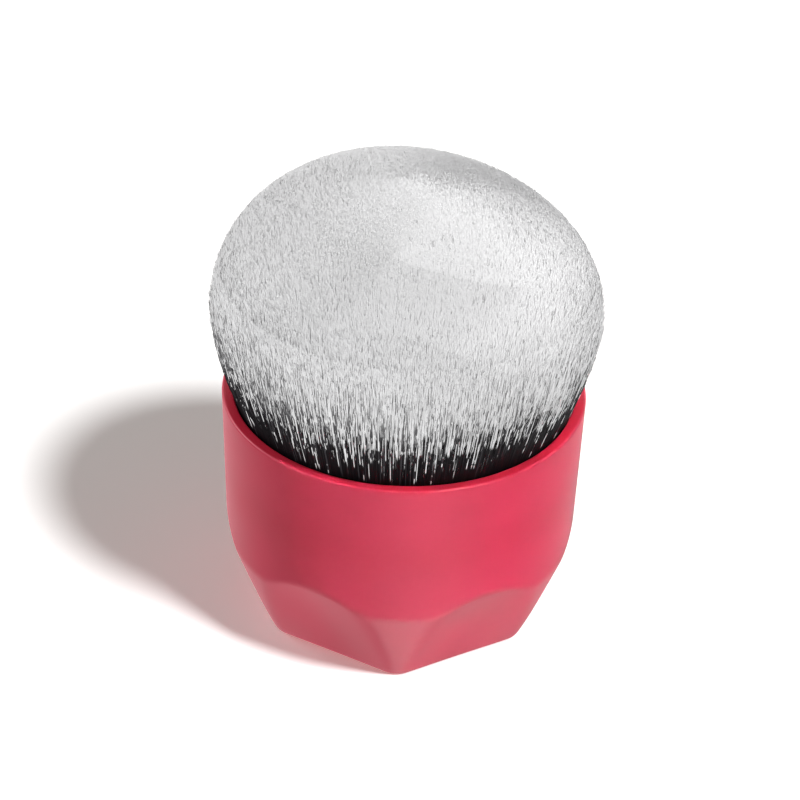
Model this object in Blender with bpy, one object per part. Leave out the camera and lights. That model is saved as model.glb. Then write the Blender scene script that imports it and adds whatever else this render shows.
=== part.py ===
# Foundation brush of the short kabuki kind. A moulded cup is the handle, and stands on a six-sided foot.
# A thin metal cup on a ledge inside it binds the roots of one dense, domed knot of filaments.
# Metres, +Z up. The origin is the middle of the foot, and one corner of the foot faces -Y.

import math

import bmesh
import bpy
from mathutils import Vector
from mathutils.geometry import delaunay_2d_cdt

# Fit between pieces that touch
CLEARANCE = 0.0003

# Handle, outside
RIM_RADIUS = 0.0240
HANDLE_HEIGHT = 0.0335
WALL_LEAN = 0.0011  # the wall's line is this much nearer the axis at the floor than at the rim
FOOT_RADIUS = 0.0188  # the cone at the floor
SHOULDER_HEIGHT = 0.0125  # where the cone meets the wall
SHOULDER_BLEND = 0.0008
FOOT_APOTHEM = 0.01635  # from the axis to each facet at the floor
FACET_HEIGHT = 0.0145  # where the middle of each facet runs out into the wall
FACET_SCOOP = 0.00035  # how far each facet is hollowed there, fading to flat at the floor
FACET_BLEND = 0.0009
CORNER_BLEND = 0.0016
FOOT_EDGE = 0.0005
RIM_EDGE = 0.0003
FACETS = 6

# Handle, inside
WALL = 0.0016
LEDGE_RISE = 0.0020  # the ledge lies this far above the facets, where the wall is whole
LEDGE_WIDTH = 0.0024
CORE_WALL = 0.0022  # what is left at the floor between the core and each facet
FLOOR_THICKNESS = 0.0035

# Cup that binds the knot
CUP_WALL = 0.0006
CUP_DEPTH = 0.0082
CUP_EDGE = 0.0012

# Cast resin in the cup
PLUG_THICKNESS = 0.0044
SLICE_THICKNESS = 0.0015  # the top of the resin, out of which the strands grow

# Knot of filaments
KNOT_RADIUS = 0.0258  # at its widest
KNOT_WIDEST_HEIGHT = 0.0123  # of the widest ring, above the rim
DOME_RISE = 0.0192  # from the widest ring to the crown
DOME_CURVE_SHARE = 0.49  # 0.5 is an ellipse, and less is a flatter crown with rounder sides
LEAN_SHARE = -0.066  # the crown drops by this share of the way to the right
ROOT_MARGIN = 0.0003  # bare resin left round the outermost strands
KNOT_GAP = 0.0004  # between the knot and the rim's inner edge
STRAND_RINGS = 10
STRANDS_PER_RING_STEP = 6  # each ring has this many strands more than the last
STRAND_SIDES = 4
ROOT_WIDTH_SHARE = 0.72  # of the spacing of the rings
RIM_WIDTH_SHARE = 0.74
TIP_WIDTH_SHARE = 0.5
CENTRE_WIDTH_SHARE = 0.5
CROWD_SHARE = 0.5  # how much the rings of tips crowd towards the widest ring, 0 for evenly spread
RING_TURN_SHARE = 0.382  # of a full turn, from each ring to the next

# Facets of the meshes
HANDLE_SIDES = 72
TURNED_SIDES = 48
CREASE_STEPS = 18
EDGE_STEPS = 2
SHARP_ANGLE = math.radians(40)
MERGE_DISTANCE = 1e-7


def remove_scene_objects():
    for obj in list(bpy.data.objects):
        bpy.data.objects.remove(obj, do_unlink=True)


def finish(name, colour, roughness, metallic):
    material = bpy.data.materials.new(name)
    material.use_nodes = True
    shader = material.node_tree.nodes["Principled BSDF"]
    shader.inputs["Base Color"].default_value = (*colour, 1.0)
    shader.inputs["Roughness"].default_value = roughness
    shader.inputs["Metallic"].default_value = metallic
    return material


def object_from(shape, name, material):
    bmesh.ops.recalc_face_normals(shape, faces=shape.faces)
    mesh = bpy.data.meshes.new(name)
    shape.to_mesh(mesh)
    shape.free()
    mesh.materials.append(material)
    mesh.shade_smooth()
    mesh.set_sharp_from_angle(angle=SHARP_ANGLE)
    obj = bpy.data.objects.new(name, mesh)
    bpy.context.scene.collection.objects.link(obj)
    return obj


def polar(radius, azimuth, height):
    # Azimuth 0 is the corner of the foot that faces -Y, and it grows towards +X.
    return Vector((radius * math.sin(azimuth), -radius * math.cos(azimuth), height))


def azimuths(sides):
    return [math.tau * side / sides for side in range(sides)]


def loft(rings):
    # Closed solid through rings of equally many points, with a flat cap on the first and the last.
    shape = bmesh.new()
    loops = [[shape.verts.new(point) for point in ring] for ring in rings]
    for lower, upper in zip(loops, loops[1:]):
        for side in range(len(lower)):
            after = (side + 1) % len(lower)
            shape.faces.new((lower[side], lower[after], upper[after], upper[side]))
    shape.faces.new(loops[0])
    shape.faces.new(loops[-1])
    return shape


def turned(profile, sides):
    # Closed solid of revolution from (radius, height) pairs.
    return loft([[polar(radius, azimuth, height) for azimuth in azimuths(sides)] for radius, height in profile])


def quarter(steps):
    # (sine, cosine) pairs along a quarter of a circle.
    turns = [math.pi / 2 * step / steps for step in range(steps + 1)]
    return [(math.sin(turn), math.cos(turn)) for turn in turns]


def soft_min(first, second, blend):
    # The smaller of two radii, eased where they come within the blend of each other.
    overlap = max(blend - abs(first - second), 0)
    return min(first, second) - overlap**2 / (4 * blend)


# Handle


def wall_radius(height):
    return RIM_RADIUS - WALL_LEAN * (1 - height / HANDLE_HEIGHT)


def cone_radius(height):
    return FOOT_RADIUS + (wall_radius(SHOULDER_HEIGHT) - FOOT_RADIUS) * height / SHOULDER_HEIGHT


def facet_apothem(height):
    return FOOT_APOTHEM + (wall_radius(FACET_HEIGHT) - FOOT_APOTHEM) * height / FACET_HEIGHT


def handle_radius(height, azimuth):
    # Six facets with eased corners, eased into the cone, and both into the wall.
    facet_turn = math.tau / FACETS
    off_middle = abs(azimuth % facet_turn - facet_turn / 2)
    apothem = facet_apothem(height)
    facets = soft_min(apothem / math.cos(off_middle), apothem / math.cos(facet_turn - off_middle), CORNER_BLEND)
    scoop = FACET_SCOOP * height / FACET_HEIGHT * math.cos(off_middle * FACETS / 2) ** 2
    lower = soft_min(cone_radius(height), facets - scoop, FACET_BLEND)
    return soft_min(wall_radius(height), lower, SHOULDER_BLEND)


def ledge_height():
    return FACET_HEIGHT + LEDGE_RISE


def pocket_radius(height):
    return wall_radius(height) - WALL


def handle_shell():
    crease_top = ledge_height() + SHOULDER_BLEND
    around = azimuths(HANDLE_SIDES)
    rings = []

    def outside(height, inset):
        rings.append([polar(handle_radius(height, azimuth) - inset, azimuth, height) for azimuth in around])

    def inside(height, radius):
        rings.append([polar(radius, azimuth, height) for azimuth in around])

    for sine, cosine in quarter(EDGE_STEPS):
        outside(FOOT_EDGE * (1 - cosine), FOOT_EDGE * (1 - sine))
    for step in range(1, CREASE_STEPS + 1):
        outside(FOOT_EDGE + (crease_top - FOOT_EDGE) * step / CREASE_STEPS, 0)
    for sine, cosine in quarter(EDGE_STEPS):
        outside(HANDLE_HEIGHT - RIM_EDGE * (1 - sine), RIM_EDGE * (1 - cosine))
    for sine, cosine in reversed(quarter(EDGE_STEPS)):
        inside(HANDLE_HEIGHT - RIM_EDGE * (1 - sine), pocket_radius(HANDLE_HEIGHT) + RIM_EDGE * (1 - cosine))
    inside(ledge_height(), pocket_radius(ledge_height()))
    inside(ledge_height(), pocket_radius(ledge_height()) - LEDGE_WIDTH)
    inside(FLOOR_THICKNESS, facet_apothem(FLOOR_THICKNESS) - CORE_WALL)
    coral = finish("coral soft touch", (0.66, 0.062, 0.105), 0.5, 0.0)
    return object_from(loft(rings), "handle_shell", coral)


# Cup and resin that hold the roots


def cup_base():
    return ledge_height() + CLEARANCE


def cup_outer_radius():
    return pocket_radius(ledge_height()) - CLEARANCE


def cup_inner_radius():
    return cup_outer_radius() - CUP_WALL


def knot_cup():
    base = cup_base()
    outer = cup_outer_radius()
    inner = cup_inner_radius()
    inner_edge = CUP_EDGE - CUP_WALL
    profile = [(outer - CUP_EDGE * (1 - sine), base + CUP_EDGE * (1 - cosine)) for sine, cosine in quarter(EDGE_STEPS)]
    profile += [(outer, base + CUP_DEPTH), (inner, base + CUP_DEPTH)]
    profile += [
        (inner - inner_edge * (1 - sine), base + CUP_WALL + inner_edge * (1 - cosine))
        for sine, cosine in reversed(quarter(EDGE_STEPS))
    ]
    aluminium = finish("drawn aluminium", (0.62, 0.62, 0.64), 0.35, 1.0)
    return object_from(turned(profile, TURNED_SIDES), "knot_cup", aluminium)


def plug_radius():
    return cup_inner_radius() - CLEARANCE


def plug_base():
    return cup_base() + CUP_WALL + CLEARANCE


def resin_plug():
    edge = CUP_EDGE - CUP_WALL
    top = plug_base() + PLUG_THICKNESS
    profile = [
        (plug_radius() - edge * (1 - sine), plug_base() + edge * (1 - cosine)) for sine, cosine in quarter(EDGE_STEPS)
    ]
    profile.append((plug_radius(), top))
    resin = finish("cast resin", (0.42, 0.33, 0.16), 0.25, 0.0)
    return object_from(turned(profile, TURNED_SIDES), "resin_plug", resin)


# Knot of filaments


def slice_base():
    return plug_base() + PLUG_THICKNESS + CLEARANCE


def dome_height(radius, azimuth):
    # Height of the tips at a place on the dome, whose crown leans down towards +X.
    share = min(radius / KNOT_RADIUS, 1)
    rise_share = (1 - share ** (1 / DOME_CURVE_SHARE)) ** DOME_CURVE_SHARE
    lean = LEAN_SHARE * radius * math.sin(azimuth)
    return HANDLE_HEIGHT + KNOT_WIDEST_HEIGHT + (DOME_RISE + lean) * rise_share


def root_place(share, azimuth):
    return polar((plug_radius() - ROOT_MARGIN) * share, azimuth, slice_base() + SLICE_THICKNESS)


def rim_place(share, azimuth):
    return polar((pocket_radius(HANDLE_HEIGHT) - KNOT_GAP) * share, azimuth, HANDLE_HEIGHT)


def tip_place(share, azimuth):
    crowded = math.sin(math.pi / 2 * share)
    radius = KNOT_RADIUS * (share + (crowded - share) * CROWD_SHARE)
    return polar(radius, azimuth, dome_height(radius, azimuth))


def strand_corners(ring, azimuth, width_share, place):
    # The four corners of one strand where it passes a level. They lie inside its own cell of the rings,
    # and each level keeps the order of the cells, so no two strands cross.
    half = width_share / 2
    reach = STRAND_RINGS + half
    if ring == 0:
        turns = azimuths(STRAND_SIDES)
        return [place(CENTRE_WIDTH_SHARE * width_share / reach, turn) for turn in turns]
    half_turn = math.tau / (STRANDS_PER_RING_STEP * ring) * half
    inner = (ring - half) / reach
    outer = (ring + half) / reach
    corners = [(inner, -half_turn), (outer, -half_turn), (outer, half_turn), (inner, half_turn)]
    return [place(share, azimuth + turn) for share, turn in corners]


def strands():
    # (ring, azimuth) of each strand, from the middle out.
    found = [(0, 0.0)]
    for ring in range(1, STRAND_RINGS + 1):
        count = STRANDS_PER_RING_STEP * ring
        start = math.tau * RING_TURN_SHARE * ring
        found += [(ring, start + math.tau * number / count) for number in range(count)]
    return found


def slice_top(outline, roots):
    # Triangles of the resin's top between the roots, as index triples into outline + roots.
    flat = [Vector((point.x, point.y)) for point in outline]
    edges = [(side, (side + 1) % len(outline)) for side in range(len(outline))]
    holes = []
    for root in roots:
        start = len(flat)
        flat += [Vector((point.x, point.y)) for point in root]
        holes.append(list(range(start, start + len(root))))
    _, _, faces, sources, _, face_sources = delaunay_2d_cdt(flat, edges, holes, 0, MERGE_DISTANCE)
    order = [source[0] for source in sources]
    return [[order[corner] for corner in face] for face, source in zip(faces, face_sources) if not source]


def filament_knot():
    shape = bmesh.new()
    top = slice_base() + SLICE_THICKNESS
    outline = [polar(plug_radius(), azimuth, top) for azimuth in azimuths(TURNED_SIDES)]
    base = [shape.verts.new((point.x, point.y, slice_base())) for point in outline]
    levels = [(ROOT_WIDTH_SHARE, root_place), (RIM_WIDTH_SHARE, rim_place), (TIP_WIDTH_SHARE, tip_place)]
    sections = [[strand_corners(ring, azimuth, *level) for level in levels] for ring, azimuth in strands()]
    edge = [shape.verts.new(point) for point in outline]
    roots = []
    for section in sections:
        loops = [[shape.verts.new(point) for point in corners] for corners in section]
        roots.append(loops[0])
        for lower, upper in zip(loops, loops[1:]):
            for side in range(STRAND_SIDES):
                after = (side + 1) % STRAND_SIDES
                shape.faces.new((lower[side], lower[after], upper[after], upper[side]))
        shape.faces.new(loops[-1])
    surface = edge + [vert for root in roots for vert in root]
    for face in slice_top(outline, [section[0] for section in sections]):
        shape.faces.new([surface[corner] for corner in face])
    for side in range(TURNED_SIDES):
        after = (side + 1) % TURNED_SIDES
        shape.faces.new((base[side], base[after], edge[after], edge[side]))
    shape.faces.new(base)
    white = finish("synthetic filaments", (0.72, 0.72, 0.72), 0.6, 0.0)
    return object_from(shape, "filament_knot", white)


remove_scene_objects()
handle_shell()
knot_cup()
resin_plug()
filament_knot()
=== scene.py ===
# Looks of a short kabuki foundation brush: a coral cup on a six-sided foot, with one domed knot in it
import math

import bmesh
import bpy
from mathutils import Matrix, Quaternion, Vector


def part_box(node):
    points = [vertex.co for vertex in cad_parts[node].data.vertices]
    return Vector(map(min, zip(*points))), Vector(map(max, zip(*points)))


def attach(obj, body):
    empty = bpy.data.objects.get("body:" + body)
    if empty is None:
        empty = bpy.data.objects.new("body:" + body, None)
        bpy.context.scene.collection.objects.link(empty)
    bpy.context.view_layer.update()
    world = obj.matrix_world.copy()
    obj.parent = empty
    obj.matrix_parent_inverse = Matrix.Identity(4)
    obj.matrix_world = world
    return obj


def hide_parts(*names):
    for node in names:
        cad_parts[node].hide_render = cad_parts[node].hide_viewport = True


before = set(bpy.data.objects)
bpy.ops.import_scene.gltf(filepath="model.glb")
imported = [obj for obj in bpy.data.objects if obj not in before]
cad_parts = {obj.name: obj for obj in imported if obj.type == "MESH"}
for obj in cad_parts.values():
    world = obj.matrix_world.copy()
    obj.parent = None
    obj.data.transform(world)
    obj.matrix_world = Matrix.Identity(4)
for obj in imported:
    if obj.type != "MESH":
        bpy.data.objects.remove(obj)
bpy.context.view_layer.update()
print("frame loaded:", ", ".join(sorted(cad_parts)))

tau = math.tau


# a value on its way through a node tree, so that a rule reads as plain sums
class Wire:
    def __init__(self, tree, socket):
        self.tree = tree
        self.socket = socket

    def sum(self, operation, *others):
        node = self.tree.nodes.new("ShaderNodeMath")
        node.operation = operation
        for place, value in enumerate((self, *others)):
            plug(self.tree, node.inputs[place], value)
        return Wire(self.tree, node.outputs[0])

    def __add__(self, other):
        return self.sum("ADD", other)

    def __radd__(self, other):
        return self.sum("ADD", other)

    def __sub__(self, other):
        return self.sum("SUBTRACT", other)

    def __rsub__(self, other):
        return self.sum("MULTIPLY", -1).sum("ADD", other)

    def __mul__(self, other):
        return self.sum("MULTIPLY", other)

    def __rmul__(self, other):
        return self.sum("MULTIPLY", other)

    def __truediv__(self, other):
        return self.sum("DIVIDE", other)

    def __pow__(self, other):
        return self.sum("POWER", other)

    def least(self, other):
        return self.sum("MINIMUM", other)

    def most(self, other):
        return self.sum("MAXIMUM", other)

    def sine(self):
        return self.sum("SINE")

    def cosine(self):
        return self.sum("COSINE")


def plug(tree, socket, value):
    if isinstance(value, Wire):
        tree.links.new(value.socket, socket)
    elif value is not None:
        socket.default_value = value


def addNode(tree, kind, inputs=None, **settings):
    node = tree.nodes.new(kind)
    for name, value in settings.items():
        setattr(node, name, value)
    return plugAll(node, inputs or {})


def plugAll(node, inputs):
    for key, value in inputs.items():
        plug(node.id_data, node.inputs[key], value)
    return node


def out(node, key=0):
    return Wire(node.id_data, node.outputs[key])


def vectorFrom(tree, x, y, z):
    return out(addNode(tree, "ShaderNodeCombineXYZ", {0: x, 1: y, 2: z}))


def partsOf(vector):
    node = addNode(vector.tree, "ShaderNodeSeparateXYZ", {0: vector})
    return [out(node, axis) for axis in range(3)]


def vectorSum(operation, first, *others):
    node = addNode(first.tree, "ShaderNodeVectorMath", operation=operation)
    for place, value in enumerate((first, *others)):
        plug(first.tree, node.inputs["Scale" if operation == "SCALE" and place == 1 else place], value)
    return out(node)


def ramp(value, low, high, toLow=0.0, toHigh=1.0, smooth=True):
    inputs = {"Value": value, "From Min": low, "From Max": high, "To Min": toLow, "To Max": toHigh}
    easing = "SMOOTHSTEP" if smooth else "LINEAR"
    return out(addNode(value.tree, "ShaderNodeMapRange", inputs, interpolation_type=easing), "Result")


def noise(vector, scale, detail=2.0, roughness=0.5):
    inputs = {"Vector": vector, "Scale": scale, "Detail": detail, "Roughness": roughness}
    return out(addNode(vector.tree, "ShaderNodeTexNoise", inputs))


# meshes and objects

def joinLoops(net, loops):
    # faces from each loop to the next, and one across each end
    sides = len(loops[0])
    for lower, upper in zip(loops, loops[1:]):
        for side in range(sides):
            after = (side + 1) % sides
            net.faces.new((lower[side], lower[after], upper[after], upper[side]))
    net.faces.new(list(reversed(loops[0])))
    net.faces.new(loops[-1])


def meshFrom(net, name):
    mesh = bpy.data.meshes.new(name)
    net.to_mesh(mesh)
    net.free()
    return mesh


def putInScene(name, data):
    thing = bpy.data.objects.new(name, data)
    bpy.context.scene.collection.objects.link(thing)
    return thing


# node trees with named inputs

def spokenName(key):
    # how a socket shows the name of a setting: rimRadius is Rim Radius
    return "".join(" " + letter if letter.isupper() else letter for letter in key).title()


def floatInputs(keys):
    return {spokenName(key): "Float" for key in keys}


def newTree(name, kind, inputs, outputs):
    tree = bpy.data.node_groups.new(name, kind)
    for direction, sockets in (("INPUT", inputs), ("OUTPUT", outputs)):
        for socketName, socketKind in sockets.items():
            tree.interface.new_socket(socketName, in_out=direction, socket_type="NodeSocket" + socketKind)
    entry = tree.nodes.new("NodeGroupInput")
    leave = tree.nodes.new("NodeGroupOutput")
    return tree, {name: Wire(tree, entry.outputs[name]) for name in inputs}, leave


def newShapeTree(name, sizes):
    inputs = {"Geometry": "Geometry", **sizes, "Finish": "Material"}
    return newTree(name, "GeometryNodeTree", inputs, {"Geometry": "Geometry"})


def attributeOf(tree, name):
    return out(addNode(tree, "GeometryNodeInputNamedAttribute", {"Name": name}, data_type="FLOAT"))


def endShapeTree(tree, given, leave, geometry):
    real = addNode(tree, "GeometryNodeRealizeInstances", {"Geometry": geometry})
    coated = addNode(tree, "GeometryNodeSetMaterial", {"Geometry": out(real), "Material": given["Finish"]})
    plug(tree, leave.inputs["Geometry"], out(coated))
    return tree


def shapeByNodes(name, mesh, tree, values):
    # runs a Geometry Nodes tree with these values and keeps what it makes as a plain mesh
    maker = putInScene(name + "Maker", mesh)
    modifier = maker.modifiers.new(tree.name, "NODES")
    modifier.node_group = tree
    sockets = [item for item in tree.interface.items_tree if item.in_out == "INPUT"]
    identifiers = {socket.name: socket.identifier for socket in sockets}
    for key, value in values.items():
        modifier[identifiers[key]] = value
    evaluated = maker.evaluated_get(bpy.context.evaluated_depsgraph_get())
    made = bpy.data.meshes.new_from_object(evaluated)
    maker.modifiers.remove(modifier)
    bpy.data.objects.remove(maker)
    bpy.data.meshes.remove(mesh)
    made.name = name
    return putInScene(name, made)


# effects that several finishes share

effectSettings = {
    "fineShare": 0.85,  # of the grain's height, the rest of which is slow unevenness
    "speckLeast": 0.3,  # what every speck has of its size, beside what chance adds
    "speckFull": 0.4,  # how far out a speck covers fully
    "wearFull": 0.2,  # how far out wear covers fully
}


def newEffect(name, inputs, outputs):
    inputs = {"Vector": "Vector", **floatInputs(inputs)}
    return newTree(name, "ShaderNodeTree", inputs, floatInputs(outputs))


def makeSurfaceGrain():
    # fine moulded or drawn unevenness: a height for the bump and a slow tone for colour and gloss
    sizes = ("grainScale", "cloudScale", "roughness")
    tree, given, leave = newEffect("surfaceGrain", sizes, ("height", "tone"))
    fine = noise(given["Vector"], given["Grain Scale"], 3.0, given["Roughness"])
    cloud = noise(given["Vector"], given["Cloud Scale"], 2.0)
    fineShare = effectSettings["fineShare"]
    plug(tree, leave.inputs["Height"], fine * fineShare + cloud * (1.0 - fineShare))
    plug(tree, leave.inputs["Tone"], cloud)
    return tree


def makeDustSpecks():
    # sparse small specks: a mask of the few cells that hold one
    tree, given, leave = newEffect("dustSpecks", ("cellScale", "speckSize", "share"), ("mask",))
    cells = addNode(tree, "ShaderNodeTexVoronoi", {"Vector": given["Vector"], "Scale": given["Cell Scale"]})
    chosen = partsOf(out(cells, "Color"))
    size = given["Speck Size"] * (chosen[1] + effectSettings["speckLeast"])
    dot = ramp(out(cells, "Distance"), size, size * effectSettings["speckFull"])
    held = chosen[0].sum("LESS_THAN", given["Share"])
    plug(tree, leave.inputs["Mask"], dot * held)
    return tree


def makeEdgeWear():
    # a broken band round a turned edge, where handling polishes or pales the finish; on the handle's rim it
    # is partly a painted highlight
    sizes = ("edgeHeight", "edgeRadius", "reach", "breakupScale")
    tree, given, leave = newEffect("edgeWear", sizes, ("mask",))
    x, y, height = partsOf(given["Vector"])
    outward = (x * x + y * y).sum("SQRT") - given["Edge Radius"]
    upward = height - given["Edge Height"]
    away = (outward * outward + upward * upward).sum("SQRT") / given["Reach"]
    broken = noise(given["Vector"], given["Breakup Scale"], 3.0)
    plug(tree, leave.inputs["Mask"], ramp(away + (broken - 0.5), 1.0, effectSettings["wearFull"]))
    return tree


surfaceGrain = makeSurfaceGrain()
dustSpecks = makeDustSpecks()
edgeWear = makeEdgeWear()


def useGroup(tree, group, inputs):
    return addNode(tree, "ShaderNodeGroup", inputs, node_tree=group)


def newFinish(name):
    material = bpy.data.materials.new(name)
    material.use_nodes = True
    tree = material.node_tree
    return material, tree, tree.nodes["Principled BSDF"]


def objectPlace(tree):
    return out(addNode(tree, "ShaderNodeTexCoord"), "Object")


def blend(tree, share, first, second):
    return out(addNode(tree, "ShaderNodeMix", {0: share, 6: first, 7: second}, data_type="RGBA"), 2)


def bump(tree, height, distance):
    return out(addNode(tree, "ShaderNodeBump", {"Height": height, "Distance": distance, "Strength": 1.0}))


# coral handle

coralSettings = {
    "colour": (0.74, 0.043, 0.094, 1.0),
    "deepColour": (0.70, 0.038, 0.084, 1.0),
    # pale coral of worn edges, which on the rim is partly a painted highlight
    "wornColour": (0.80, 0.17, 0.21, 1.0),
    "rimShadeColour": (0.62, 0.020, 0.050, 1.0),  # painted shade: a darker red on the rim face and in the pocket, where the knot shades them
    "dustColour": (0.85, 0.78, 0.76, 1.0),
    "roughness": 0.41,
    "roughSpread": 0.12,
    "wornPolish": 0.15,  # how much smoother it is where it is worn
    "specular": 0.29,
    "grainHeight": 0.000012,
    "grain": {"Grain Scale": 5200.0, "Cloud Scale": 110.0, "Roughness": 0.6},
    "rimWearAndHighlight": {"Reach": 0.00018, "Breakup Scale": 420.0},
    "footWear": {"Reach": 0.0014, "Breakup Scale": 300.0},
    "rimWornAndHighlight": 0.35,
    "footWorn": 0.18,
    "dust": {"Cell Scale": 260.0, "Speck Size": 0.045, "Share": 0.06},
    "dustCover": 0.7,
    "toneRange": (0.3, 0.7),
    "rimShadeEdge": 0.00012,  # half the width of the line where the painted shade on the rim starts
    "rimShadeFullFrom": 0.98,  # of the height, from where up the pocket has the painted shade throughout
}


def makeCoralFinish(shape):
    material, tree, shader = newFinish("coralSoftTouch")
    look = coralSettings
    place = objectPlace(tree)
    grain = useGroup(tree, surfaceGrain, {"Vector": place, **look["grain"]})
    tone = out(grain, "Tone")
    rim = {"Vector": place, "Edge Height": shape["height"], "Edge Radius": shape["rimRadius"]}
    rimWearAndHighlight = useGroup(tree, edgeWear, {**rim, **look["rimWearAndHighlight"]})
    foot = {"Vector": place, "Edge Height": 0.0, "Edge Radius": shape["footRadius"]}
    footWear = useGroup(tree, edgeWear, {**foot, **look["footWear"]})
    dust = useGroup(tree, dustSpecks, {"Vector": place, **look["dust"]})
    base = blend(tree, ramp(tone, *look["toneRange"]), look["deepColour"], look["colour"])
    x, y, height = partsOf(place)
    # painted shade: the rim face and the pocket get a darker red, as if the knot shaded them
    inward = shape["rimRadius"] - shape["rimEdge"] - (x * x + y * y).sum("SQRT")
    insideRimEdge = ramp(inward, -look["rimShadeEdge"], look["rimShadeEdge"])
    pocket = insideRimEdge * height.sum("GREATER_THAN", shape["ledgeHeight"])
    rimShade = pocket * ramp(height, shape["ledgeHeight"], shape["height"] * look["rimShadeFullFrom"])
    base = blend(tree, rimShade, base, look["rimShadeColour"])
    # the pale band round the rim's outer edge is partly wear and partly a painted highlight
    worn = (out(rimWearAndHighlight, "Mask") * look["rimWornAndHighlight"]).most(out(footWear, "Mask") * look["footWorn"])
    base = blend(tree, worn, base, look["wornColour"])
    base = blend(tree, out(dust, "Mask") * look["dustCover"], base, look["dustColour"])
    rough = look["roughness"] + (tone - 0.5) * look["roughSpread"] - worn * look["wornPolish"]
    normal = bump(tree, out(grain, "Height"), look["grainHeight"])
    plugAll(shader, {"Base Color": base, "Roughness": rough, "Normal": normal})
    plugAll(shader, {"Specular IOR Level": look["specular"]})
    return material


handleShape = {
    "sides": 288,
    "height": 0.0335,
    "rimRadius": 0.0240,
    "wallLean": 0.0011,
    "footRadius": 0.0188,
    "shoulderHeight": 0.0125,
    "shoulderBlend": 0.00025,
    "footApothem": 0.01635,
    "facetHeight": 0.0145,
    "facetScoop": 0.00035,
    "facetHollow": 0.00060,
    "facetBlend": 0.0007,
    "cornerBlend": 0.0016,
    "facets": 6,
    "footEdge": 0.0005,
    "rimEdge": 0.0003,
    "rimDrop": 0.00005,  # how far the rim falls towards the pocket
    "wall": 0.0016,
    "ledgeHeight": 0.0165,
    "ledgeWidth": 0.0024,
    "coreWall": 0.0022,
    "floor": 0.0035,
    "sharpFrom": 50.0,  # degrees between two faces from which their edge is shown sharp
}
# the sizes that its nodes take in
cupSizes = (
    "rimRadius", "wallLean", "height", "footRadius", "shoulderHeight", "shoulderBlend", "footApothem",
    "facetHeight", "facetScoop", "facetHollow", "facetBlend", "cornerBlend", "facets",
)
netLayers = ("azimuth", "level", "inset", "spread", "turned")
# how fine the net is, from the middle of the foot, up outside and down inside
netSteps = {
    "footSpreads": (0.04, 0.3, 0.6, 0.85, 0.96),
    "edge": 6,
    "crease": 92,
    "wall": 14,
    "faceShares": (0.25, 0.5, 0.75),
    "innerEdge": 5,
    "pocket": 8,
    "core": 6,
    "floorSpreads": (0.7, 0.4, 0.05),
}


def softLeast(first, second, easing):
    overlap = (easing - (first - second).sum("ABSOLUTE")).most(0.0)
    return first.least(second) - overlap * overlap / (easing * 4.0)


def makeFacetedCupTree():
    # each point of the net carries where it lies on the cup, and the rule gives its radius there
    tree, given, leave = newShapeTree("facetedCup", floatInputs(cupSizes))

    def wallAt(height):
        return given["Rim Radius"] - given["Wall Lean"] * (1.0 - height / given["Height"])

    azimuth, height, inset, spread, turned = [attributeOf(tree, name) for name in netLayers]

    shoulder = wallAt(given["Shoulder Height"])
    cone = given["Foot Radius"] + (shoulder - given["Foot Radius"]) * height / given["Shoulder Height"]
    facetTop = wallAt(given["Facet Height"])
    risen = height / given["Facet Height"]
    apothem = given["Foot Apothem"] + (facetTop - given["Foot Apothem"]) * risen
    facetTurn = given["Facets"] ** -1.0 * tau
    offMiddle = (azimuth.sum("FLOORED_MODULO", facetTurn) - facetTurn * 0.5).sum("ABSOLUTE")
    nextFacet = apothem / (facetTurn - offMiddle).cosine()
    facets = softLeast(apothem / offMiddle.cosine(), nextFacet, given["Corner Blend"])
    hollow = (offMiddle * given["Facets"] * 0.5).cosine()
    belly = (risen.least(1.0) * (tau / 2)).sine()
    scoop = (given["Facet Scoop"] * risen + given["Facet Hollow"] * belly) * hollow * hollow
    lower = softLeast(cone, facets - scoop, given["Facet Blend"])
    outside = softLeast(wallAt(height), lower, given["Shoulder Blend"])
    radius = outside + (wallAt(height) - outside) * turned
    radius = (radius - inset) * spread
    place = vectorFrom(tree, radius * azimuth.sine(), radius * azimuth.cosine() * -1.0, height)
    moved = addNode(tree, "GeometryNodeSetPosition", {"Geometry": given["Geometry"], "Position": place})
    return endShapeTree(tree, given, leave, out(moved))


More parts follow.
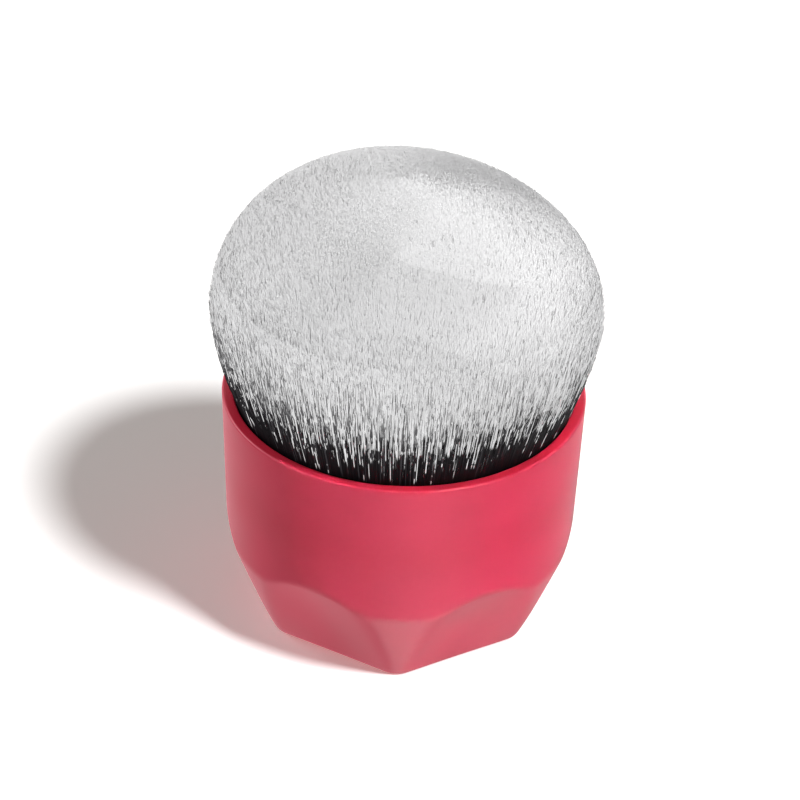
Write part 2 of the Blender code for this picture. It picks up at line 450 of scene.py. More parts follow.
def handleRows(shape):
    # (level, inset, spread, turned) of each row of the net
    def quarter(steps):
        turns = [tau / 4 * step / steps for step in range(steps + 1)]
        return [(math.sin(turn), math.cos(turn)) for turn in turns]

    top = shape["height"]
    footEdge = shape["footEdge"]
    rimEdge = shape["rimEdge"]
    creaseTop = shape["ledgeHeight"] + shape["shoulderBlend"]
    rows = [(0.0, footEdge, spread, 0.0) for spread in netSteps["footSpreads"]]
    for sine, cosine in quarter(netSteps["edge"]):
        rows.append((footEdge * (1 - cosine), footEdge * (1 - sine), 1.0, 0.0))
    creaseSteps = netSteps["crease"]
    for step in range(1, creaseSteps + 1):
        rows.append((footEdge + (creaseTop - footEdge) * step / creaseSteps, 0.0, 1.0, 0.0))
    wallSteps = netSteps["wall"]
    for step in range(1, wallSteps):
        rows.append((creaseTop + (top - rimEdge - creaseTop) * step / wallSteps, 0.0, 1.0, 0.0))
    for sine, cosine in quarter(netSteps["edge"]):
        rows.append((top - rimEdge * (1 - sine), rimEdge * (1 - cosine), 1.0, 0.0))
    inner = top - shape["rimDrop"]
    face = shape["wall"] - rimEdge * 2
    for share in netSteps["faceShares"]:
        rows.append((top + (inner - top) * share, rimEdge + face * share, 1.0, 1.0))
    for sine, cosine in reversed(quarter(netSteps["innerEdge"])):
        rows.append((inner - rimEdge * (1 - sine), shape["wall"] - rimEdge * (1 - cosine), 1.0, 1.0))
    ledge = shape["ledgeHeight"]
    pocketTop = inner - rimEdge
    pocketFall = ledge - inner + rimEdge
    for step in range(1, netSteps["pocket"] + 1):
        rows.append((pocketTop + pocketFall * step / netSteps["pocket"], shape["wall"], 1.0, 1.0))
    rows.append((ledge, shape["wall"] + shape["ledgeWidth"] / 2, 1.0, 1.0))
    rows.append((ledge, shape["wall"] + shape["ledgeWidth"], 1.0, 1.0))
    wallAtLedge = wallLine(shape, ledge)
    wallAtFloor = wallLine(shape, shape["floor"])
    facetTop = wallLine(shape, shape["facetHeight"])
    widening = (facetTop - shape["footApothem"]) * shape["floor"] / shape["facetHeight"]
    apothem = shape["footApothem"] + widening
    coreTop = wallAtLedge - shape["wall"] - shape["ledgeWidth"]
    coreFoot = apothem - shape["coreWall"]
    for step in range(1, netSteps["core"] + 1):
        share = step / netSteps["core"]
        level = ledge + (shape["floor"] - ledge) * share
        radius = coreTop + (coreFoot - coreTop) * share
        rows.append((level, wallLine(shape, level) - radius, 1.0, 1.0))
    for spread in netSteps["floorSpreads"]:
        rows.append((shape["floor"], wallAtFloor - coreFoot, spread, 1.0))
    return rows


def wallLine(shape, level):
    return shape["rimRadius"] - shape["wallLean"] * (1 - level / shape["height"])


def makeNet(rows, sides):
    # a closed net of rows by sides that carries the azimuth and the row's values
    net = bmesh.new()
    layers = [net.verts.layers.float.new(name) for name in netLayers]
    loops = []
    for number, row in enumerate(rows):
        loop = []
        for side in range(sides):
            turn = tau * side / sides
            vert = net.verts.new((math.sin(turn), -math.cos(turn), number))
            for layer, value in zip(layers, (turn, *row)):
                vert[layer] = value
            loop.append(vert)
        loops.append(loop)
    joinLoops(net, loops)
    return meshFrom(net, "handleNet")


def makeCoralHandle():
    values = {spokenName(key): float(handleShape[key]) for key in cupSizes}
    values["Finish"] = makeCoralFinish(handleShape)
    net = makeNet(handleRows(handleShape), handleShape["sides"])
    handle = shapeByNodes("coralHandle", net, makeFacetedCupTree(), values)
    for name in netLayers:
        handle.data.attributes.remove(handle.data.attributes[name])
    handle.data.shade_smooth()
    handle.data.set_sharp_from_angle(angle=math.radians(handleShape["sharpFrom"]))
    print("coral handle:", len(handle.data.polygons), "faces")
    return handle


coralHandle = makeCoralHandle()


# metal cup and resin, which hold the roots

aluminiumSettings = {
    "colour": (0.55, 0.56, 0.58, 1.0),
    "paleColour": (0.68, 0.68, 0.70, 1.0),
    "wornColour": (0.80, 0.80, 0.81, 1.0),
    "stretch": (0.15, 0.15, 6.0),  # turns the grain into the rings that drawing leaves
    "grain": {"Grain Scale": 900.0, "Cloud Scale": 150.0, "Roughness": 0.7},
    "grainHeight": 0.00003,
    "wear": {"Reach": 0.0006, "Breakup Scale": 500.0},
    "worn": 0.5,
    "roughness": 0.30,
    "roughSpread": 0.14,
    "wornPolish": 0.1,
}


def makeAluminiumFinish():
    material, tree, shader = newFinish("drawnAluminium")
    look = aluminiumSettings
    place = objectPlace(tree)
    rings = vectorSum("MULTIPLY", place, look["stretch"])
    grain = useGroup(tree, surfaceGrain, {"Vector": rings, **look["grain"]})
    tone = out(grain, "Tone")
    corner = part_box("knot_cup")[1]
    lip = {"Vector": place, "Edge Height": corner.z, "Edge Radius": corner.x}
    wear = out(useGroup(tree, edgeWear, {**lip, **look["wear"]}), "Mask")
    base = blend(tree, tone, look["colour"], look["paleColour"])
    base = blend(tree, wear * look["worn"], base, look["wornColour"])
    rough = look["roughness"] + tone * look["roughSpread"] - wear * look["wornPolish"]
    normal = bump(tree, out(grain, "Height"), look["grainHeight"])
    plugAll(shader, {"Base Color": base, "Roughness": rough, "Normal": normal, "Metallic": 1.0})
    return material


resinSettings = {
    "colour": (0.30, 0.21, 0.075, 1.0),
    "paleColour": (0.52, 0.42, 0.22, 1.0),
    "bubbleColour": (0.70, 0.62, 0.42, 1.0),
    "grain": {"Grain Scale": 700.0, "Cloud Scale": 120.0, "Roughness": 0.4},
    "grainHeight": 0.00005,
    "bubbles": {"Cell Scale": 700.0, "Speck Size": 0.3, "Share": 0.25},
    "bubbleCover": 0.6,
    "bubbleDepth": 0.6,
    "roughness": 0.18,
    "roughSpread": 0.16,
}


def makeResinFinish():
    material, tree, shader = newFinish("castResin")
    look = resinSettings
    place = objectPlace(tree)
    grain = useGroup(tree, surfaceGrain, {"Vector": place, **look["grain"]})
    tone = out(grain, "Tone")
    bubbles = out(useGroup(tree, dustSpecks, {"Vector": place, **look["bubbles"]}), "Mask")
    base = blend(tree, tone, look["colour"], look["paleColour"])
    base = blend(tree, bubbles * look["bubbleCover"], base, look["bubbleColour"])
    rough = look["roughness"] + tone * look["roughSpread"]
    normal = bump(tree, out(grain, "Height") + bubbles * -look["bubbleDepth"], look["grainHeight"])
    plugAll(shader, {"Base Color": base, "Roughness": rough, "Normal": normal})
    return material


def dressNode(name, finish):
    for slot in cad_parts[name].material_slots:
        slot.material = finish
    print(name, "wears", finish.name)


dressNode("knot_cup", makeAluminiumFinish())
dressNode("resin_plug", makeResinFinish())


# filaments

filamentLook = {
    "columns": 128,  # how many different filaments the UV map holds
    "mapLength": 0.046,  # the length that the whole height of the map stands for
    "changeHeight": 0.0051,  # above the rim, where black turns to white
    "changeScatter": 0.0058,
    "changeUneven": 0.0036,
    "changeLength": 0.0005,
    "changeLeast": 0.3,  # the shortest change, in change lengths
    "slitTop": 0.024,  # above the rim, where the dark slits end: painted shade that stands for the shade between the tips
    "slitFoot": 0.0065,  # above the rim, where they are most
    "slitLength": 0.0024,
    "slitRare": 0.86,
    "slitCommon": 0.44,
    "slitUneven": 0.52,  # how much the kinds differ in slits
    "slitEdge": 0.03,
    "slitAtTop": 0.35,  # how dark a slit is at slitTop and above
    "kindApart": 7.3,  # how far apart the kinds read the noise of their slits
    "tipWhite": (0.78, 0.78, 0.785, 1.0),
    "lowLitWhite": (0.95, 0.95, 0.955, 1.0),  # painted light: whiter nearest the rim, where the dome above shades the low tips
    "lowLitTop": 0.015,  # above the rim, where the painted light of lowLitWhite has turned to tipWhite
    "shadeWhite": (0.035, 0.033, 0.037, 1.0),
    "rootBlack": (0.004, 0.003, 0.004, 1.0),
    "seeThrough": 0.55,  # how much light the pale part lets past
    "roughness": 0.55,
    "roughSpread": 0.2,
    "specular": 0.12,
}


def makeFilamentFinish():
    # the map's columns are kinds of filament, and its height is the way up from the root
    material, tree, shader = newFinish("syntheticFilaments")
    look = filamentLook
    across, along, _ = partsOf(out(addNode(tree, "ShaderNodeUVMap", uv_map="OFBake")))
    kind = (across * look["columns"]).sum("FLOOR")
    chance = addNode(tree, "ShaderNodeTexWhiteNoise", {"W": kind}, noise_dimensions="1D")
    tone, second, third = partsOf(out(chance, "Color"))
    aboveRim = along * look["mapLength"] - (knotShape["rimHeight"] - knotShape["rootHeight"])
    prone = kind / look["columns"] - 0.5
    scatter = (tone + second - 1.0) * look["changeScatter"]
    change = look["changeHeight"] + scatter - prone * look["changeUneven"]
    half = look["changeLength"] * (look["changeLeast"] + third)
    white = ramp(aboveRim, change - half, change + half)
    # painted shade: dark slits in the filaments' colour stand for the shade between the tips
    mixed = ramp(aboveRim, look["slitTop"], look["slitFoot"], smooth=False)
    streak = noise(vectorFrom(tree, kind * look["kindApart"], aboveRim / look["slitLength"], 0.0), 1.0, 1.0)
    bar = look["slitRare"] + (look["slitCommon"] - look["slitRare"]) * mixed
    depth = mixed * (1.0 - look["slitAtTop"]) + look["slitAtTop"]
    slit = ramp(streak + prone * look["slitUneven"], bar, bar + look["slitEdge"]) * depth
    # painted light: the filaments are whiter near the rim, to make up for the shade over the low tips
    high = ramp(aboveRim, look["changeHeight"], look["lowLitTop"])
    whiteWithLowLight = blend(tree, high, look["lowLitWhite"], look["tipWhite"])
    pale = blend(tree, slit, whiteWithLowLight, look["shadeWhite"])
    base = blend(tree, white, look["rootBlack"], pale)
    rough = look["roughness"] + (tone - 0.5) * look["roughSpread"]
    # light gets through the pale tips, so they shade each other only in part
    shadow = out(addNode(tree, "ShaderNodeLightPath"), "Is Shadow Ray")
    alpha = 1.0 - shadow * white * look["seeThrough"]
    plugAll(shader, {"Base Color": base, "Roughness": rough, "Alpha": alpha})
    plugAll(shader, {"Specular IOR Level": look["specular"]})
    return material


knotShape = {
    "rootRadius": 0.0204,
    "rimRadius": 0.0223,
    "knotRadius": 0.0257,
    "rootHeight": 0.0239,
    "rimHeight": 0.0335,
    "widestHeight": 0.0458,
    "domeRise": 0.0190,
    "domeCurve": 0.49,
    "lean": -0.066,  # slope of the dome from left to right
    "straightShare": 0.4,  # of the flare over the rim, the rest of which is curved
    "crowd": 0.5,
    "jitter": 0.6,
    "roundJitter": 1.7,  # how much more of it is round the knot than inwards
    "trimScatter": 0.00008,
    "sideScatter": 0.0100,
    "scatterCurve": 22.0,  # how closely that is kept to the outside
    "wander": 0.0003,
    "wanderCurve": 1.6,  # how closely it is kept to the tips
    "wanderMiddle": 1.3,  # how much of it there is in the middle
    "tuftPull": 0.06,
    "tuftSize": 0.0015,
    "lockWidth": 0.00017,  # the filaments of one lock are of one kind
    "lockLength": 0.0012,
    "kindsLeft": 0.5,  # under 1, more filaments are of the kinds with many slits: painted shade on the side away from the light
    "kindsRight": 2.6,  # over 1, fewer are, so the lit side stays pale
    "mapSpare": 1.04,  # a filament is this much longer than it is tall
    "domeLean": 0.7,
    "domeFoot": -0.004,  # how far under the widest ring the dome's light still turns
    "middle": {"Width": 0.00017, "Tip Width": 0.00015, "Normal Share": 0.98},
    "side": {"Width": 0.00014, "Tip Width": 0.00006, "Normal Share": 0.80},
    "widthFrom": 0.6,  # how far out the widths of the middle start to turn to those of the side
    "normalFrom": 0.88,
    "girthLeast": 0.8,  # how much their widths differ
    "girthMost": 1.2,
    "waist": 0.72,  # how thick the ends are beside the middle
    "taperFrom": 0.72,  # of the way up
    "taperTo": 1.4,  # times the tip width
    "sunkTaper": 0.3,  # of the way up, where a sunk filament has its width
    "seed": 7,
}
# the sizes that its nodes take in: first those that all bands share, then each band's own
knotSizes = (
    "rootRadius", "rimRadius", "knotRadius", "rootHeight", "rimHeight", "widestHeight", "domeRise",
    "domeCurve", "lean", "crowd", "jitter", "roundJitter", "trimScatter", "sideScatter", "scatterCurve",
    "wander", "wanderCurve", "wanderMiddle", "tuftPull", "tuftSize", "lockWidth", "lockLength",
    "kindsLeft", "kindsRight", "mapSpare", "domeLean", "domeFoot", "girthLeast", "girthMost", "waist",
    "taperFrom", "taperTo",
)
bandSizes = ("fromShare", "toShare", "startTurn", "shortLength", "sink", "bunching", "ownKind")
goldenTurn = 0.3819660112501051  # of a full turn, from each filament to the next
leastShare = 0.02  # nearest the middle, where a turn has no width
leastRadius = 0.002


def makeFilamentTree():
    numbers = {name: "Int" for name in ("Count", "Points", "Root Points", "Columns", "Seed")}
    sizes = floatInputs((*bandSizes, *knotSizes, "mapLength"))
    for name in knotShape["middle"]:
        sizes["Middle " + name] = sizes["Side " + name] = "Float"
    tree, given, leave = newShapeTree("filamentKnot", {**numbers, **sizes})

    def chance(low, high, offset):
        node = addNode(tree, "FunctionNodeRandomValue", data_type="FLOAT")
        # the sockets of this node share their names, so they are found by kind
        for socket in node.inputs:
            if socket.type == "VALUE" and socket.name == "Min":
                plug(tree, socket, low)
            if socket.type == "VALUE" and socket.name == "Max":
                plug(tree, socket, high)
            if socket.name == "Seed":
                plug(tree, socket, given["Seed"] + offset)
            if socket.name == "ID":
                plug(tree, socket, number)
        return out(node, 1)

    def keep(geometry, name, value, kind="FLOAT", domain="POINT"):
        inputs = {"Geometry": geometry, "Name": name, "Value": value}
        return out(addNode(tree, "GeometryNodeStoreNamedAttribute", inputs, data_type=kind, domain=domain))

    def kept(name):
        return attributeOf(tree, name)

    def byPlace(name, start):
        return ramp(kept("share"), start, 1.0, given["Middle " + name], given["Side " + name])

    # one point for each filament, with its place in the knot from the middle out
    number = out(addNode(tree, "GeometryNodeInputIndex"))
    points = out(addNode(tree, "GeometryNodePoints", {"Count": given["Count"]}))
    inner = given["From Share"] ** 2.0
    room = given["To Share"] ** 2.0 - inner
    spacing = (room / given["Count"]).sum("SQRT")
    share = (inner + room * (number + 0.5) / given["Count"]).sum("SQRT")
    turn = (number * goldenTurn + given["Start Turn"]).sum("FRACT") * tau
    jitterIn = chance(-0.5, 0.5, 1) * spacing * given["Jitter"]
    jitterRound = chance(-0.5, 0.5, 2) * spacing * given["Jitter"] * given["Round Jitter"]
    jitterRound = jitterRound / share.most(leastShare)
    points = keep(points, "share", (share + jitterIn).most(0.0).least(1.0))
    points = keep(points, "turn", turn + jitterRound)
    points = keep(points, "trim", chance(0.0, 1.0, 3))
    points = keep(points, "own", chance(0.0, 1.0, 4))
    points = keep(points, "wanderX", chance(-1.0, 1.0, 5))
    points = keep(points, "wanderY", chance(-1.0, 1.0, 6))
    points = keep(points, "girth", chance(given["Girth Least"], given["Girth Most"], 7))

    # a straight strand on each, which is then bent to its way through the knot
    line = out(addNode(tree, "GeometryNodeCurvePrimitiveLine", {"End": (0.0, 0.0, 1.0)}))
    strand = out(addNode(tree, "GeometryNodeResampleCurve", {"Curve": line, "Count": given["Points"]}))
    placed = addNode(tree, "GeometryNodeInstanceOnPoints", {"Points": points, "Instance": strand})
    strands = out(addNode(tree, "GeometryNodeRealizeInstances", {"Geometry": out(placed)}))

    step = out(addNode(tree, "GeometryNodeSplineParameter"), "Index") * 1.0
    last = given["Points"] - 1.0 - given["Root Points"]
    above = ((step - given["Root Points"]).most(0.0) / last).least(1.0)
    alongIt = 1.0 - (1.0 - above) ** given["Bunching"]
    atRoot = step.sum("LESS_THAN", 0.5) * given["Root Points"]

    shareHere = kept("share")
    turnHere = kept("turn")
    crowded = shareHere + ((shareHere * (tau / 4)).sine() - shareHere) * given["Crowd"]
    tipRadius = given["Knot Radius"] * crowded
    rimRadius = given["Rim Radius"] * shareHere
    lean = given["Lean"] * tipRadius * turnHere.sine()
    flat = (1.0 - crowded.least(1.0) ** (given["Dome Curve"] ** -1.0)).most(0.0) ** given["Dome Curve"]
    tipHeight = given["Widest Height"] + (given["Dome Rise"] + lean) * flat
    length = tipHeight - given["Rim Height"]
    scatter = given["Trim Scatter"] + given["Side Scatter"] * shareHere ** given["Scatter Curve"]
    whole = 1.0 - kept("trim") * scatter / length
    # a short filament starts this far below its tip, and a long one at the rim
    short = given["Short Length"].sum("GREATER_THAN", 0.0)
    begin = (whole - given["Short Length"] / length).most(0.0) * short
    reach = begin + (whole - begin) * alongIt
    onward = reach / whole
    straight = knotShape["straightShare"]
    swing = reach * straight + (reach * (tau / 4)).sine() * (1.0 - straight)
    radius = rimRadius + (tipRadius - rimRadius) * swing - given["Sink"] * (1.0 - alongIt) ** 2.0
    radius = radius + (given["Root Radius"] * shareHere - radius) * atRoot
    height = given["Rim Height"] + length * reach
    height = height + (given["Root Height"] - height) * atRoot
    way = vectorFrom(tree, radius * turnHere.sine(), radius * turnHere.cosine() * -1.0, height)

    # tips lean together into tufts, and each wanders a little on its own
    tip = vectorFrom(tree, tipRadius * turnHere.sine(), tipRadius * turnHere.cosine() * -1.0, 0.0)
    tufts = {"Vector": vectorSum("SCALE", tip, given["Tuft Size"] ** -1.0), "Scale": 1.0}
    cells = addNode(tree, "ShaderNodeTexVoronoi", tufts, voronoi_dimensions="2D")
    centre = vectorSum("SCALE", out(cells, "Position"), given["Tuft Size"])
    pull = vectorSum("SCALE", vectorSum("SUBTRACT", centre, tip), given["Tuft Pull"] * onward ** 2.0)
    loose = onward ** given["Wander Curve"] * given["Wander"] * (given["Wander Middle"] - shareHere)
    stray = vectorFrom(tree, kept("wanderX") * loose, kept("wanderY") * loose, 0.0)
    way = vectorSum("ADD", vectorSum("ADD", way, pull), stray)
    bent = addNode(tree, "GeometryNodeSetPosition", {"Geometry": strands, "Position": way})

    # what the map needs: how far each point is from the root, and which kind the filament is
    up = given["Rim Height"] - given["Root Height"] + reach * length * given["Map Spare"]
    fromRoot = up * (1.0 - atRoot)
    down = tipRadius + (1.0 - flat) * given["Dome Rise"]
    column = (turnHere * tipRadius.most(leastRadius) / given["Lock Width"]).sum("FLOOR")
    rowStart = out(addNode(tree, "ShaderNodeTexWhiteNoise", {"W": column}, noise_dimensions="1D"), "Value")
    row = (down / given["Lock Length"] + rowStart).sum("FLOOR")
    cell = vectorFrom(tree, column, row, 0.0)
    near = out(addNode(tree, "ShaderNodeTexWhiteNoise", {"Vector": cell}, noise_dimensions="3D"), "Value")
    # painted shade: on the left, away from the light, more of them are of the kinds with many slits
    toRight = tipRadius * turnHere.sine() / given["Knot Radius"]
    evenness = ramp(toRight, -1.0, 1.0, given["Kinds Left"], given["Kinds Right"], smooth=False)
    kind = (near + kept("own") * given["Own Kind"]).sum("FRACT") ** evenness * given["Columns"]
    marked = keep(out(bent), "fromRoot", fromRoot / given["Map Length"])
    marked = keep(marked, "kind", kind.sum("FLOOR").least(given["Columns"] - 1.0))

    widest = byPlace("Width", knotShape["widthFrom"])
    width = widest * 0.5 * (given["Waist"] + (1.0 - given["Waist"]) * (alongIt * (tau / 2)).sine())
    point = byPlace("Tip Width", knotShape["widthFrom"]) / widest * given["Taper To"]
    slim = ramp(alongIt, given["Taper From"], 1.0, 1.0, point, smooth=False)
    sunk = given["Sink"].sum("GREATER_THAN", 0.0)
    grown = ramp(alongIt + (1.0 - sunk), 0.0, knotShape["sunkTaper"], point * 0.5, 1.0, smooth=False)
    slim = slim.least(grown)
    ring = addNode(tree, "GeometryNodeCurvePrimitiveCircle", {"Resolution": 3, "Radius": 1.0})
    ringStep = out(addNode(tree, "GeometryNodeSplineParameter"), "Index") * 1.0
    profile = keep(out(ring), "round", ringStep * 0.5)
    # one of the three sides of each faces outward
    marked = out(addNode(tree, "GeometryNodeSetCurveNormal", {"Curve": marked}, mode="Z_UP"))
    thickness = width * slim * kept("girth")
    bodies = {"Curve": marked, "Profile Curve": profile, "Scale": thickness, "Fill Caps": True}
    tubes = addNode(tree, "GeometryNodeCurveToMesh", bodies)
    column = (kept("kind") + 0.25 + kept("round") * 0.5) / given["Columns"]
    mapped = keep(out(tubes), "OFBake", vectorFrom(tree, column, kept("fromRoot"), 0.0), "FLOAT2", "CORNER")
    smooth = addNode(tree, "GeometryNodeSetShadeSmooth", {"Geometry": mapped, "Shade Smooth": True})

    # light falls on the filaments partly as on the dome that they make together
    x, y, z = partsOf(out(addNode(tree, "GeometryNodeInputPosition")))
    across = given["Knot Radius"] ** -2.0 * given["Dome Lean"]
    upward = (z - given["Widest Height"]).most(given["Dome Foot"]) * given["Dome Rise"] ** -2.0
    dome = vectorSum("NORMALIZE", vectorFrom(tree, x * across, y * across, upward))
    tube = out(addNode(tree, "GeometryNodeInputNormal"))
    normalShare = byPlace("Normal Share", knotShape["normalFrom"])
    shared = vectorSum("SCALE", dome, normalShare)
    own = vectorSum("SCALE", tube, 1.0 - normalShare)
    facing = vectorSum("NORMALIZE", vectorSum("ADD", shared, own))
    normals = {"Mesh": out(smooth), "Custom Normal": facing}
    smooth = addNode(tree, "GeometryNodeSetMeshNormal", normals, mode="FREE", domain="CORNER")
    carried = ("share", "turn", "trim", "own", "wanderX", "wanderY", "girth", "fromRoot", "kind", "round")
    for name in carried:
        smooth = addNode(tree, "GeometryNodeRemoveAttribute", {"Geometry": out(smooth), "Name": name})
    return endShapeTree(tree, given, leave, out(smooth))


# bands of the knot: rings, where they stand from the middle (0) to the outside (1), filaments in each
knotBands = [
    # the middle, whose filaments are made from inside the heart of the knot
    {"rings": 3, "from": 0.0, "to": 0.87, "count": 24000, "points": 2, "shortLength": 0.0030},
    # long ones of the side, which run up from the resin
    {
        "rings": 3, "from": 0.86, "to": 1.0, "count": 7400, "points": 5,
        "rootPoints": 1, "bunching": 1.4, "ownKind": 1.0,
    },
    # shorter ones over them, which start sunk among the others and end all over the side
    {
        "rings": 3, "from": 0.90, "to": 1.0, "count": 13700, "points": 3,
        "shortLength": 0.0028, "sink": 0.0005, "ownKind": 1.0,
    },
]
# what a band takes in, and what it has where it says nothing else
plainBand = {
    "count": 1, "points": 2, "rootPoints": 0, "bunching": 1.0,
    "shortLength": 0.0, "sink": 0.0, "ownKind": 0.0,
}
seedStep = 20  # from ring to ring


def makeFilaments():
    finish = makeFilamentFinish()
    tree = makeFilamentTree()
    made = []
    for band in knotBands:
        room = (band["to"] ** 2 - band["from"] ** 2) / band["rings"]
        own = {spokenName(key): band.get(key, plain) for key, plain in plainBand.items()}
        for place in range(band["rings"]):
            values = {
                **own,
                "Columns": filamentLook["columns"],
                "Seed": knotShape["seed"] + seedStep * len(made),
                "From Share": math.sqrt(band["from"] ** 2 + room * place),
                "To Share": math.sqrt(band["from"] ** 2 + room * (place + 1)),
                "Start Turn": place * band["count"] * goldenTurn % 1.0,
                "Map Length": filamentLook["mapLength"],
                "Finish": finish,
                **{spokenName(key): knotShape[key] for key in knotSizes},
            }
            for zone in ("Middle", "Side"):
                for name, value in knotShape[zone.lower()].items():
                    values[f"{zone} {name}"] = value
            start = bpy.data.meshes.new("knotStart")
            piece = shapeByNodes(f"filamentRing{len(made) + 1}", start, tree, values)
            print(piece.name, len(piece.data.polygons), "faces")
            made.append(piece)
    return made


filamentRings = makeFilaments()


# heart of the knot: under the tips the filaments are packed so close that they are one body

heartShape = {
    "sides": 128,
    "domeRows": 24,
    "sideRows": 16,
    "domeDepth": 0.0005,  # how far under the tips it lies
    "sideDepth": 0.0016,
    "sharpFrom": 60.0,
    "streakScale": 5200.0,
    "streakStretch": (1.0, 1.0, 0.12),  # turns the grain into streaks that run up
    "slitRange": (0.40, 0.58),
    "roughSpread": 0.3,
    "grainHeight": 0.00005,
}


def makeHeartFinish():
    material, tree, shader = newFinish("packedFilaments")
    look = filamentLook
    place = objectPlace(tree)
    aboveRim = partsOf(place)[2] - knotShape["rimHeight"]
    streak = noise(vectorSum("MULTIPLY", place, heartShape["streakStretch"]), heartShape["streakScale"])
    change = look["changeHeight"] + (streak - 0.5) * look["changeScatter"] * 2.0
    white = ramp(aboveRim, change - look["changeLength"], change + look["changeLength"])
    # painted shade: dark slits in the colour stand for the shade between the tips
    mixed = ramp(aboveRim, look["slitTop"], look["slitFoot"])
    slit = ramp(streak, *heartShape["slitRange"]) * mixed
    pale = blend(tree, slit, look["tipWhite"], look["shadeWhite"])
    base = blend(tree, white, look["rootBlack"], pale)
    rough = look["roughness"] + (streak - 0.5) * heartShape["roughSpread"]
    normal = bump(tree, streak, heartShape["grainHeight"])
    plugAll(shader, {"Base Color": base, "Roughness": rough, "Normal": normal})
    plugAll(shader, {"Specular IOR Level": look["specular"]})
    return material


def makeHeart(knot, shape):
    rows = [(knot["rootRadius"] - shape["sideDepth"], knot["rootHeight"], 0.0)]
    flare = knot["knotRadius"] - knot["rimRadius"]
    for step in range(shape["sideRows"] + 1):
        reach = step / shape["sideRows"]
        straight = knot["straightShare"]
        swing = reach * straight + math.sin(reach * tau / 4) * (1 - straight)
        height = knot["rimHeight"] + (knot["widestHeight"] - knot["rimHeight"]) * reach
        rows.append((knot["rimRadius"] + flare * swing - shape["sideDepth"], height, 0.0))
    for step in range(1, shape["domeRows"]):
        share = math.cos(tau / 4 * step / shape["domeRows"])
        flat = (1.0 - share ** (1.0 / knot["domeCurve"])) ** knot["domeCurve"]
        rise = (knot["domeRise"] - shape["domeDepth"]) * flat
        rows.append(((knot["knotRadius"] - shape["sideDepth"]) * share, knot["widestHeight"] + rise, flat))
    solid = bmesh.new()
    loops = []
    for radius, height, flat in rows:
        loop = []
        for side in range(shape["sides"]):
            turn = tau * side / shape["sides"]
            x = radius * math.sin(turn)
            loop.append(solid.verts.new((x, -radius * math.cos(turn), height + knot["lean"] * x * flat)))
        loops.append(loop)
    joinLoops(solid, loops)
    mesh = meshFrom(solid, "filamentHeart")
    mesh.shade_smooth()
    mesh.set_sharp_from_angle(angle=math.radians(shape["sharpFrom"]))
    mesh.materials.append(makeHeartFinish())
    heart = putInScene("filamentHeart", mesh)
    print("heart of the knot:", len(mesh.polygons), "faces")
    return heart


filamentHeart = makeHeart(knotShape, heartShape)


# what rides on what

def settle(piece, slot, *nodes):
    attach(piece, "root")
    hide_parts(*nodes)


settle(coralHandle, "coral_soft_touch", "handle_shell")
for piece in [*filamentRings, filamentHeart]:
    settle(piece, "synthetic_filaments", "filament_knot")
print("pieces settled")


# studio

studio = {
    "floorSize": 3.0,
    "floorColour": (0.95, 0.95, 0.95, 1.0),
    "bounceColour": (0.0, 0.0, 0.0, 1.0),  # it throws no light back: lamps from under it do that evenly
    "floorLift": 0.19,
    "liftColour": (1.0, 0.94, 0.87, 1.0),
    "backdropColour": (1.0, 1.0, 1.0, 1.0),
    "ambient": 0.10,
    "ambientColour": (1.0, 0.95, 0.92, 1.0),
    "ambientLean": 0.2,  # how much brighter the room is to the right
    "lampAim": Vector((0.0, 0.0, 0.03)),
    "sunDistance": 0.5,
}


def clearTree(owner):
    # an empty tree, and what tells in it whether the camera or a mirror looks
    owner.use_nodes = True
    tree = owner.node_tree
    tree.nodes.clear()
    rays = addNode(tree, "ShaderNodeLightPath")
    mirrored = out(rays, "Is Glossy Ray").most(out(rays, "Is Transmission Ray"))
    return tree, out(rays, "Is Camera Ray"), mirrored


def makeFloor():
    half = studio["floorSize"] / 2
    shape = bmesh.new()
    corners = [shape.verts.new((x * half, y * half, 0.0)) for x, y in ((-1, -1), (1, -1), (1, 1), (-1, 1))]
    shape.faces.new(corners)
    mesh = meshFrom(shape, "studioFloor")
    material = bpy.data.materials.new("paleFloor")
    tree, seen, mirrored = clearTree(material)
    colour = blend(tree, seen, studio["bounceColour"], studio["floorColour"])
    glow = blend(tree, mirrored, studio["liftColour"], studio["backdropColour"])
    paper = addNode(tree, "ShaderNodeBsdfDiffuse", {"Color": colour})
    strength = seen * studio["floorLift"] + mirrored
    lift = addNode(tree, "ShaderNodeEmission", {"Color": glow, "Strength": strength})
    both = addNode(tree, "ShaderNodeAddShader", {0: out(paper), 1: out(lift)})
    addNode(tree, "ShaderNodeOutputMaterial", {"Surface": out(both)})
    material.cycles.emission_sampling = "NONE"
    mesh.materials.append(material)
    floor = putInScene("studioFloor", mesh)
    return floor


def makeWorld():
    world = bpy.data.worlds.new("studioWorld")
    bpy.context.scene.world = world
    tree, seen, mirrored = clearTree(world)
    across = partsOf(out(addNode(tree, "ShaderNodeTexCoord"), "Generated"))[0]
    strength = studio["ambient"] * (1.0 + across * studio["ambientLean"])
    room = {"Color": studio["ambientColour"], "Strength": strength}
    ambient = addNode(tree, "ShaderNodeBackground", room)
    white = addNode(tree, "ShaderNodeBackground", {"Color": studio["backdropColour"], "Strength": 1.0})
    both = addNode(tree, "ShaderNodeMixShader", {0: seen.most(mirrored), 1: out(ambient), 2: out(white)})
    addNode(tree, "ShaderNodeOutputWorld", {"Surface": out(both)})


def directionTo(azimuth, elevation):
    # azimuth 0 is towards the camera's side, and it grows to the right
    flat = math.cos(elevation)
    return Vector((math.sin(azimuth) * flat, -math.cos(azimuth) * flat, math.sin(elevation)))


# the key, which lights the handle and the floor
keyLamps = {"keyLight": {"strength": 3.6, "angle": 9.5, "azimuth": 47.0, "elevation": 54.0}}
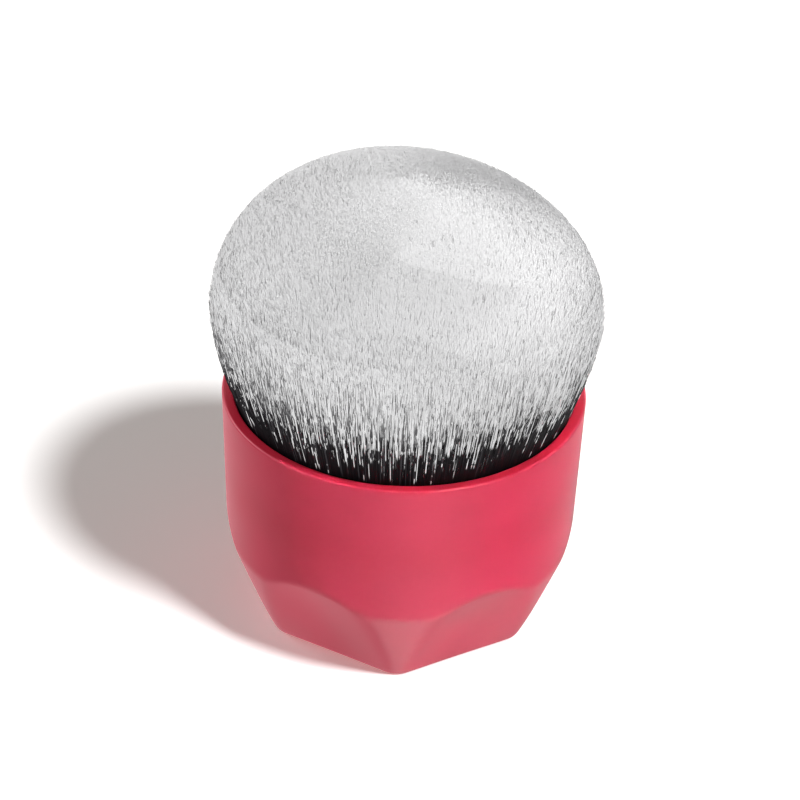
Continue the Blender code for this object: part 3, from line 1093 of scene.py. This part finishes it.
# soft lamps that light the filaments in place of the key, because fine fibre scatters light evenly
softLamps = {
    "softRight": {"strength": 2.4, "angle": 80.0, "azimuth": 108.0, "elevation": 16.0},
    "softFront": {"strength": 3.05, "angle": 90.0, "azimuth": -16.0, "elevation": 4.0},
    "softTop": {"strength": 2.8, "angle": 100.0, "azimuth": 140.0, "elevation": 68.0},
    "softEdge": {"strength": 1.25, "angle": 25.0, "azimuth": -118.0, "elevation": 20.0},
}
# two that light the handle from below, as a white floor would, and one from its left
handleLamps = {
    "floorRight": {"strength": 1.6, "angle": 45.0, "azimuth": 25.0, "elevation": -62.0},
    "floorLeft": {"strength": 0.45, "angle": 45.0, "azimuth": -30.0, "elevation": -55.0},
    "softLeft": {"strength": 0.5, "angle": 60.0, "azimuth": -75.0, "elevation": 25.0},
}
# one that lightens the shadow on the floor
floorLamps = {"floorEdge": {"strength": 1.0, "angle": 25.0, "azimuth": -118.0, "elevation": 20.0}}
# one behind and to the left, for the pale edge of the wall
edgeLamp = {"power": 1.1, "size": (0.10, 0.22), "azimuth": -118.0, "elevation": 32.0, "distance": 0.45}


def placeLamp(light, values, pieces):
    # puts a lamp where its values say, and keeps its light to these pieces
    towards = directionTo(math.radians(values["azimuth"]), math.radians(values["elevation"]))
    lamp = putInScene(light.name, light)
    lamp.location = studio["lampAim"] + towards * values.get("distance", studio["sunDistance"])
    lamp.rotation_mode = "QUATERNION"
    lamp.rotation_quaternion = towards.to_track_quat("Z", "Y")
    lamp.light_linking.receiver_collection = collectionOf(lamp.name + "Pieces", pieces, "INCLUDE")
    return lamp


def placeSun(name, values, pieces):
    sun = bpy.data.lights.new(name, "SUN")
    sun.energy = values["strength"]
    sun.angle = math.radians(values["angle"])
    return placeLamp(sun, values, pieces)


def collectionOf(name, pieces, state):
    chosen = bpy.data.collections.new(name)
    for piece in pieces:
        chosen.objects.link(piece)
    for member in chosen.collection_objects:
        member.light_linking.link_state = state
    return chosen


def makeLights(floor):
    knot = [*filamentRings, filamentHeart]
    blockers = collectionOf("blockers", [floor], "EXCLUDE")
    for name, values in keyLamps.items():
        placeSun(name, values, [coralHandle, floor])
    # only the floor blocks none of their light, so those under it reach the handle
    for lamps, pieces in ((softLamps, knot), (handleLamps, [coralHandle]), (floorLamps, [floor])):
        for name, values in lamps.items():
            placeSun(name, values, pieces).light_linking.blocker_collection = blockers
    edge = bpy.data.lights.new("edgeLight", "AREA")
    edge.energy = edgeLamp["power"]
    edge.shape = "RECTANGLE"
    edge.size, edge.size_y = edgeLamp["size"]
    placeLamp(edge, edgeLamp, [coralHandle])


cameraSettings = {
    "lookAt": Vector((0.0, 0.0, 0.022)),
    "distance": 0.430,
    "elevation": math.radians(34.42),
    "azimuth": math.radians(-0.777),
    "roll": math.radians(1.945),
    "lens": 144.67,
    "sensorWidth": 36.0,
    "clip": (0.01, 20.0),
    "lensPixels": 3214.9,  # the lens in pixels of the 800 across
    "pixelsRight": 1.663,  # where the point looked at falls, from the middle of the frame
    "pixelsDown": 59.6,
}


def makeCamera():
    values = cameraSettings
    back = directionTo(values["azimuth"], values["elevation"])
    lens = bpy.data.cameras.new("camera")
    lens.sensor_width = values["sensorWidth"]
    lens.lens = values["lens"]
    lens.clip_start, lens.clip_end = values["clip"]
    camera = putInScene("camera", lens)
    camera.location = values["lookAt"] + back * values["distance"]
    camera.rotation_mode = "QUATERNION"
    straight = back.to_track_quat("Z", "Y")
    right, down = values["pixelsRight"] / values["lensPixels"], values["pixelsDown"] / values["lensPixels"]
    turn = Vector((right, -down, -1.0)).rotation_difference(Vector((0.0, 0.0, -1.0)))
    rolled = Quaternion((0.0, 0.0, 1.0), values["roll"])
    camera.rotation_quaternion = straight @ rolled @ turn
    bpy.context.scene.camera = camera


studioFloor = makeFloor()
makeWorld()
makeLights(studioFloor)
makeCamera()
bpy.context.scene.view_settings.view_transform = "Standard"
print("studio set")
